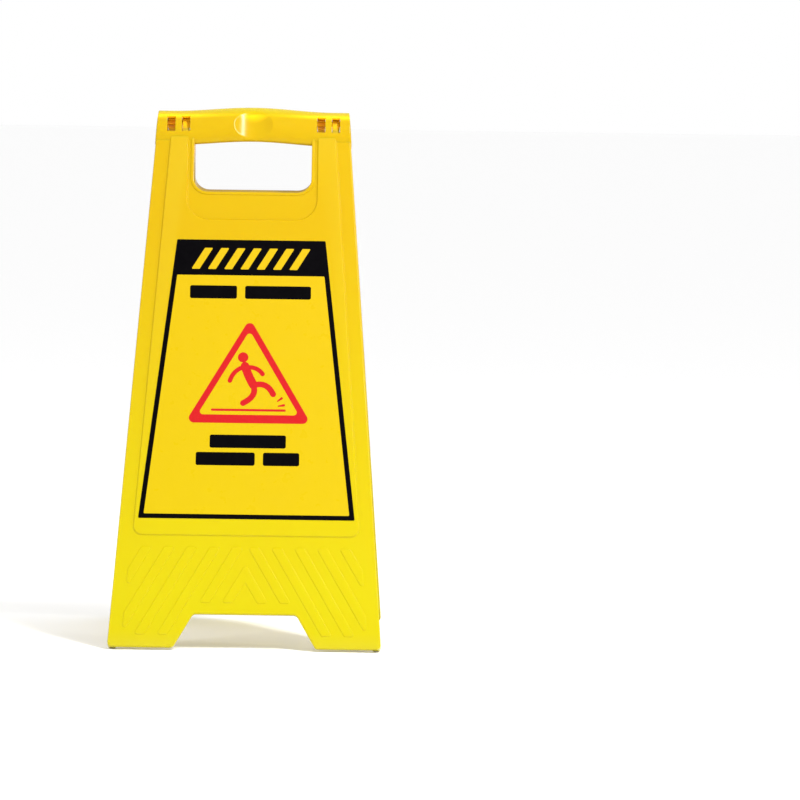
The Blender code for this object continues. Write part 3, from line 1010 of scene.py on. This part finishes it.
def painted_bounce_share(tree, place):
    """Share of painted bounce light: one near the fold, where the bars and hooks are, and nought outside."""
    offset = calculated(tree, "ABSOLUTE", place.outputs["Y"])
    near = remap(tree, offset, PAINTED_BOUNCE_NEAR, PAINTED_BOUNCE_PAST, 1.0, 0.0)
    below = remap(tree, place.outputs["Z"], PAINTED_BOUNCE_BELOW, PAINTED_BOUNCE_ABOVE, 1.0, 0.0)
    return calculated(tree, "MULTIPLY", near, below)


def yellow_plastic():
    """Glossy moulded polypropylene."""
    material, tree, shader = new_finish("yellow_polypropylene", 0.18, 0.14)
    colour, place = yellow_painted_grade_and_flow(tree, LEMON_PAINTED_LIGHT, GRIP_YELLOW)
    height = place.outputs["Z"]
    # Painted highlight: the crest of the beam turns paler lemon.
    painted_highlight = remap(tree, height, PAINTED_HIGHLIGHT_LOW, PAINTED_HIGHLIGHT_HIGH, 0.0, 0.7)
    colour = blend_colours(tree, painted_highlight, colour, LEMON_PAINTED_LIGHT)
    # Painted orange bounce light on the hinge parts.
    colour = blend_colours(tree, painted_bounce_share(tree, place), colour, PAINTED_BOUNCE_ORANGE)
    geometry = tree.nodes.new("ShaderNodeNewGeometry")
    rubbed = remap(tree, geometry.outputs["Pointiness"], 0.55, 0.66, 0.0, 0.30)
    colour = blend_colours(tree, rubbed, colour, RUBBED_YELLOW)
    dusty = remap(tree, height, FLOOR, DUST_HIGH, 0.10, 0.0)
    tree.links.new(blend_colours(tree, dusty, colour, DUST), shader.inputs["Base Color"])
    varied_gloss(tree, shader, 60.0, 5.0, 0.13, 0.21)
    grain = bumped(tree, shader, noise(tree, 2600.0, 2.0), 0.00004, 0.15)
    bumped(tree, shader, noise(tree, 14.0, 2.0), 0.0012, 0.10, under=grain)
    shader.inputs["IOR"].default_value = 1.49
    shader.inputs["Subsurface Weight"].default_value = 0.25
    shader.inputs["Subsurface Radius"].default_value = (1.0, 0.55, 0.05)
    shader.inputs["Subsurface Scale"].default_value = 0.003
    return material


PLASTIC = yellow_plastic()
print("made", PLASTIC.name)

# %% [markdown]
# ## Printed film
# The label is a thin printed vinyl film: smoother than the moulding, with the same yellow, and inks
# that lie on it as a thin coat. Black and red inks differ slightly in gloss.

# %% Film and inks
# The film's two yellows are the ends of the same painted light grade, lemon at the feet.
FILM_LOW = (0.440, 0.322, 0.0007, 1.0)
FILM_HIGH = (0.423, 0.280, 0.0007, 1.0)
BLACK_TONES = (0.0007, 0.0005, 0.0009, 1.0), (0.0012, 0.0009, 0.0014, 1.0)
RED_TONES = (0.385, 0.006, 0.007, 1.0), (0.360, 0.005, 0.006, 1.0)
YELLOW_TONES = (0.435, 0.292, 0.0007, 1.0), (0.415, 0.272, 0.0007, 1.0)


def film_finish():
    """Yellow vinyl film, graded from the foot to the grip as painted light."""
    material, tree, shader = new_finish("yellow_film", 0.30)
    colour, _ = yellow_painted_grade_and_flow(tree, FILM_LOW, FILM_HIGH)
    tree.links.new(colour, shader.inputs["Base Color"])
    varied_gloss(tree, shader, 90.0, 4.0, 0.26, 0.36)
    bumped(tree, shader, noise(tree, 26.0, 2.0), 0.0006, 0.10)
    return material


def ink_finish(name, tones, roughness, specular=0.10):
    """Screen-printed ink, mottled between two tones."""
    material, tree, shader = new_finish(name, roughness, specular)
    share = remap(tree, noise(tree, 420.0, 4.0), 0.35, 0.70, 0.0, 1.0)
    tree.links.new(blend_colours(tree, share, *tones), shader.inputs["Base Color"])
    varied_gloss(tree, shader, 120.0, 3.0, roughness - 0.05, roughness + 0.07)
    bumped(tree, shader, noise(tree, 900.0, 2.0), 0.00004, 0.30)
    return material


FILM = film_finish()
BLACK_INK = ink_finish("black_ink", BLACK_TONES, 0.34, 0.02)
RED_INK = ink_finish("red_ink", RED_TONES, 0.38)
YELLOW_INK = ink_finish("yellow_ink", YELLOW_TONES, 0.36)
print("made", FILM.name, BLACK_INK.name, RED_INK.name, YELLOW_INK.name)

# %% [markdown]
# ## Print shapes
# A printed shape is a very thin slab with an exact outline. Bars with round ends serve for lines of
# lettering and for limbs, and a ring joins two outlines that have the same number of points.

# %% Stamp helpers
FIELD_FACE = OUT - FIELD_RISE
FILM_GAP = 0.00002
FILM_THICK = 0.00020
INK_THICK = 0.00006
FILM_FACE = FIELD_FACE - FILM_GAP - FILM_THICK


def slab(shape, outline, back, face):
    """Thin layer between two depths."""
    capped(shape, [[shape.verts.new((x, y, z)) for x, z in outline] for y in (back, face)])


def stamp(shape, outline, level=0):
    """Thin slab of ink; a higher level lies on a lower one."""
    slab(shape, outline, FILM_FACE - INK_THICK * level, FILM_FACE - INK_THICK * (level + 1))


def ring_stamp(shape, outer, inner, level=0):
    """Thin slab between two outlines that have the same number of points."""
    near, far = FILM_FACE - INK_THICK * (level + 1), FILM_FACE - INK_THICK * level
    loops = [(outer, far), (outer, near), (inner, near), (inner, far)]
    rows = [[shape.verts.new((x, y, z)) for x, z in outline] for outline, y in loops]
    strips(shape, rows + rows[:1], closed=True)


def pill(start, end, radius, end_radius, steps=10):
    """Outline with round ends round a line, from one radius to the other."""
    along = math.atan2(end[1] - start[1], end[0] - start[0])
    points = []
    for (x, z), size, turn in ((end, end_radius, -math.pi / 2), (start, radius, math.pi / 2)):
        for i in range(steps + 1):
            angle = along + turn + math.pi * i / steps
            points.append((x + size * math.cos(angle), z + size * math.sin(angle)))
    return points


def limb(places, radius, steps=8):
    """Outline of a bent limb of even thickness along a smooth curve through three places."""
    start, bend, end = (Vector(place) for place in places)
    middle, sides = [], []
    for i in range(steps + 1):
        t = i / steps
        middle.append(start * (1 - t) ** 2 + bend * 2 * t * (1 - t) + end * t * t)
        along = ((bend - start) * (1 - t) + (end - bend) * t).normalized()
        sides.append(Vector((-along.y, along.x)) * radius)
    left = [m + s for m, s in zip(middle, sides)]
    right = [m - s for m, s in zip(middle, sides)][::-1]
    caps = []
    for centre, side in ((end, sides[-1]), (start, -sides[0])):
        turn = math.atan2(side.y, side.x)
        angles = [turn - math.pi * i / 8 for i in range(1, 8)]
        caps.append([centre + Vector((math.cos(a), math.sin(a))) * radius for a in angles])
    return [tuple(p) for p in left + caps[0] + right + caps[1]]


print("film stands", round(FILM_THICK * 1000, 2), "mm off the field")

# %% [markdown]
# ## Label layout
# The label keeps the layout of such a sign without any wording: a black frame with a deep header
# band, hazard stripes in the header, a red warning triangle with a plain slipping figure, and round
# bars where lines of text would be.

# %% Film, frame and header
LABEL_LOW = 0.1450
LABEL_HIGH = 0.4655
LABEL_HALF_LOW = 0.1190
LABEL_HALF_HIGH = 0.0823
LABEL_CORNER = 0.0012
FRAME_LINE = 0.0054
FRAME_BASE = 0.0052
HEADER_LOW = 0.4245
STRIPE_LOW = 0.4315
STRIPE_HIGH = 0.4560
STRIPE_HALF = 0.066
STRIPE_COUNT = 7
STRIPE_LEAN = 0.6
STRIPE_CORNER = 0.0008


def label_outline(low, high, inset=0.0):
    """Outline between two heights whose sides run parallel to the label's."""
    def reach(height):
        share = (height - LABEL_LOW) / (LABEL_HIGH - LABEL_LOW)
        return LABEL_HALF_LOW + (LABEL_HALF_HIGH - LABEL_HALF_LOW) * share - inset

    return tapered(low, high, reach(low), reach(high), LABEL_CORNER, LABEL_CORNER, 4)


def film_shape(shape):
    """The film itself, lying on the field."""
    slab(shape, label_outline(LABEL_LOW, LABEL_HIGH), FIELD_FACE - FILM_GAP, FILM_FACE)


def header_stripes(shape):
    """Slanted stripes across the header band."""
    lean = (STRIPE_HIGH - STRIPE_LOW) * STRIPE_LEAN
    pitch = (2 * STRIPE_HALF - lean) / (STRIPE_COUNT - 0.5)
    for index in range(STRIPE_COUNT):
        left = -STRIPE_HALF + pitch * index
        right = left + pitch / 2
        corners = [(left, STRIPE_LOW), (right, STRIPE_LOW)]
        corners += [(right + lean, STRIPE_HIGH), (left + lean, STRIPE_HIGH)]
        stamp(shape, rounded([(x, up(v), STRIPE_CORNER) for x, v in corners], 3), level=1)


print("label", round((LABEL_HIGH - LABEL_LOW) * 1000), "mm high")

# %% [markdown]
# ## Triangle, figure and lines
# The figure is drawn from scratch as a head, a body and four bent limbs, tipping backwards over a
# wet patch. The lines of text are bars with round corners.

# %% Pictogram and text lines
TRIANGLE_OUT = ((-0.0695, 0.2545), (0.0695, 0.2545), (0.0, 0.3750))
TRIANGLE_IN = ((-0.0560, 0.2640), (0.0560, 0.2640), (0.0, 0.3610))
FIGURE_LIMBS = (
    ((-0.0045, 0.3200), (-0.0010, 0.3090), (0.0050, 0.2985), 0.0048),
    ((0.0055, 0.2980), (0.0200, 0.3030), (0.0270, 0.2880), 0.0033),
    ((0.0050, 0.2975), (0.0100, 0.2860), (-0.0060, 0.2775), 0.0033),
    ((-0.0040, 0.3185), (0.0090, 0.3200), (0.0150, 0.3110), 0.0025),
    ((-0.0050, 0.3190), (-0.0170, 0.3160), (-0.0210, 0.3030), 0.0025),
)
HEAD = (-0.0068, 0.3300)
HEAD_RADIUS = 0.0058
DROPS = (((0.0320, 0.2800), (0.0365, 0.2835)), ((0.0330, 0.2745), (0.0390, 0.2755)))
LINE_HEIGHT = 0.0150
LINE_CORNER = 0.0022
TRIANGLE_CORNERS = (0.0055, 0.0035)
WET_LINE = (0.2695, 0.0400, 0.0013)
DROP_ENDS = (0.0007, 0.0014)
TEXT_LINES = (
    (0.4050, ((-0.0670, -0.0150), (-0.0060, 0.0670))),
    (0.2335, ((-0.0420, 0.0420),)),
    (0.2135, ((-0.0570, 0.0080), (0.0170, 0.0570))),
)


def black_shape(shape):
    """Frame with its header band, and the bars that stand for lines of text."""
    inner = label_outline(LABEL_LOW + FRAME_BASE, HEADER_LOW, FRAME_LINE)
    ring_stamp(shape, label_outline(LABEL_LOW, LABEL_HIGH), inner)
    for middle, words in TEXT_LINES:
        low, high = up(middle) - LINE_HEIGHT / 2, up(middle) + LINE_HEIGHT / 2
        for left, right in words:
            corners = [(left, low), (right, low), (right, high), (left, high)]
            stamp(shape, rounded([(x, z, LINE_CORNER) for x, z in corners], 5))


def red_shape(shape):
    """Warning triangle and the slipping figure."""
    outlines = []
    for corners, radius in zip((TRIANGLE_OUT, TRIANGLE_IN), TRIANGLE_CORNERS):
        outlines.append(rounded([(x, up(v), radius) for x, v in corners]))
    ring_stamp(shape, *outlines)
    stamp(shape, [(HEAD[0] + x, up(HEAD[1]) + z) for x, z in circle(HEAD_RADIUS, 40)])
    for index, (*places, radius) in enumerate(FIGURE_LIMBS):
        stamp(shape, limb([(x, up(v)) for x, v in places], radius), level=index * 0.1)
    height, half, radius = WET_LINE
    stamp(shape, pill((-half, up(height)), (half, up(height)), radius, radius))
    for places in DROPS:
        stamp(shape, pill(*[(x, up(v)) for x, v in places], *DROP_ENDS))


print("text lines", len(TEXT_LINES), "figure limbs", len(FIGURE_LIMBS))

# %% [markdown]
# ## Put both panels together
# Every piece is placed by the panel's matrix, given its material and put on the body it rides on,
# and the CAD part it stands for is hidden.

# %% Pieces of both sides
def added(name, data):
    """New object with its data, linked to the scene."""
    obj = bpy.data.objects.new(name, data)
    bpy.context.scene.collection.objects.link(obj)
    return obj


def piece(name, mesh, finish, side, node):
    """One shown piece, its mesh moved from the panel's own frame to its place on the body."""
    mesh.transform(panel_place(side == "rear"))
    mesh.materials.append(finish)
    obj = added(name, mesh)
    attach(obj, side)
    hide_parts(node)
    return obj


def printed_mesh(name, draw):
    """Mesh of thin printed shapes."""
    shape = bmesh.new()
    draw(shape)
    return finished_mesh(shape, name)


PRINTS = (
    ("label_film", film_shape, FILM),
    ("print_black", black_shape, BLACK_INK),
    ("print_yellow", header_stripes, YELLOW_INK),
    ("print_red", red_shape, RED_INK),
)
for side in ("front", "rear"):
    body = piece(side + "_moulding", moulding.copy(), PLASTIC, side, side + "_panel")
    weighted = body.modifiers.new("weighted_normals", "WEIGHTED_NORMAL")
    weighted.keep_sharp = True
    weighted.weight = 100
    for name, draw, finish in PRINTS:
        piece(side + "_" + name, printed_mesh(name, draw), finish, side, side + "_label")

# %% [markdown]
# ## Floor and light
# A plain pale floor and a white room, as in a product studio. A tall soft box at the right front
# gives the light its direction and puts a narrow bright line in the thumb scoop. It leaves the edges
# that face left a little darker. Two thin strips at the sides pick out the rounded edges.

# %% Floor, world and lights
FLOOR_REACH = 30.0
FLOOR_DROP = 0.0003
FLOOR_TONE = (0.97, 0.97, 0.97, 1.0)
MIDDLE = (0.0, 0.0, 0.3)
LIGHTS = (
    ("key", (0.94, -1.59, 2.13), (0.0, 0.0, 0.5), 0.20, 1.20, 69.0),
    ("right_strip", (2.4, -1.0, 0.9), MIDDLE, 0.10, 1.20, 16.0),
    ("left_strip", (-1.6, -1.7, 1.2), MIDDLE, 0.08, 0.80, 8.0),
)


def add_floor():
    """Wide pale floor under the feet."""
    mesh = bpy.data.meshes.new("floor")
    signs = ((-1, -1), (1, -1), (1, 1), (-1, 1))
    corners = [(x * FLOOR_REACH, y * FLOOR_REACH, FLOOR - FLOOR_DROP) for x, y in signs]
    mesh.from_pydata(corners, [], [(0, 1, 2, 3)])
    material, _, shader = new_finish("pale_floor", 0.9)
    shader.inputs["Base Color"].default_value = FLOOR_TONE
    mesh.materials.append(material)
    floor = added("floor", mesh)


def add_light(name, place, target, width, height, power):
    """Soft box light aimed at a target."""
    light = bpy.data.lights.new(name, "AREA")
    light.shape = "RECTANGLE"
    light.size = width
    light.size_y = height
    light.energy = power
    obj = added(name, light)
    obj.location = place
    obj.rotation_euler = (Vector(target) - Vector(place)).to_track_quat("-Z", "Y").to_euler()


add_floor()
world = bpy.data.worlds.new("studio")
world.use_nodes = True
world.node_tree.nodes["Background"].inputs["Color"].default_value = (1.0, 1.0, 1.0, 1.0)
world.node_tree.nodes["Background"].inputs["Strength"].default_value = 1.0
bpy.context.scene.world = world
for light in LIGHTS:
    add_light(*light)
bpy.context.scene.view_settings.view_transform = "Standard"

# %% [markdown]
# ## Camera
# A long lens far away, a touch right of and above the sign's middle, so the rear panel hides behind
# the front one. It aims past the sign, which puts the sign left of the picture's centre, and is
# rolled by less than a degree.

# %% Camera
AZIMUTH, ELEVATION, DISTANCE = math.radians(1.0), math.radians(3.0), 8.0
AIM_PAN, AIM_TILT, ROLL = math.radians(-1.202), math.radians(0.249), math.radians(0.786)
LENS = 321.2


def heading(azimuth, elevation):
    """Direction a camera looks in, from its azimuth and elevation."""
    level = math.cos(elevation)
    return Vector((-math.sin(azimuth) * level, math.cos(azimuth) * level, -math.sin(elevation)))


camera = added("camera", bpy.data.cameras.new("camera"))
camera.data.lens = LENS
camera.data.clip_end = 100.0
look = heading(AZIMUTH + AIM_PAN, ELEVATION + AIM_TILT)
camera.location = Vector(MIDDLE) - heading(AZIMUTH, ELEVATION) * DISTANCE
turn = look.to_track_quat("-Z", "Y").to_matrix() @ Matrix.Rotation(ROLL, 3, "Z")
camera.rotation_euler = turn.to_euler()
bpy.context.scene.camera = camera
print("camera at", tuple(round(c, 3) for c in camera.location))
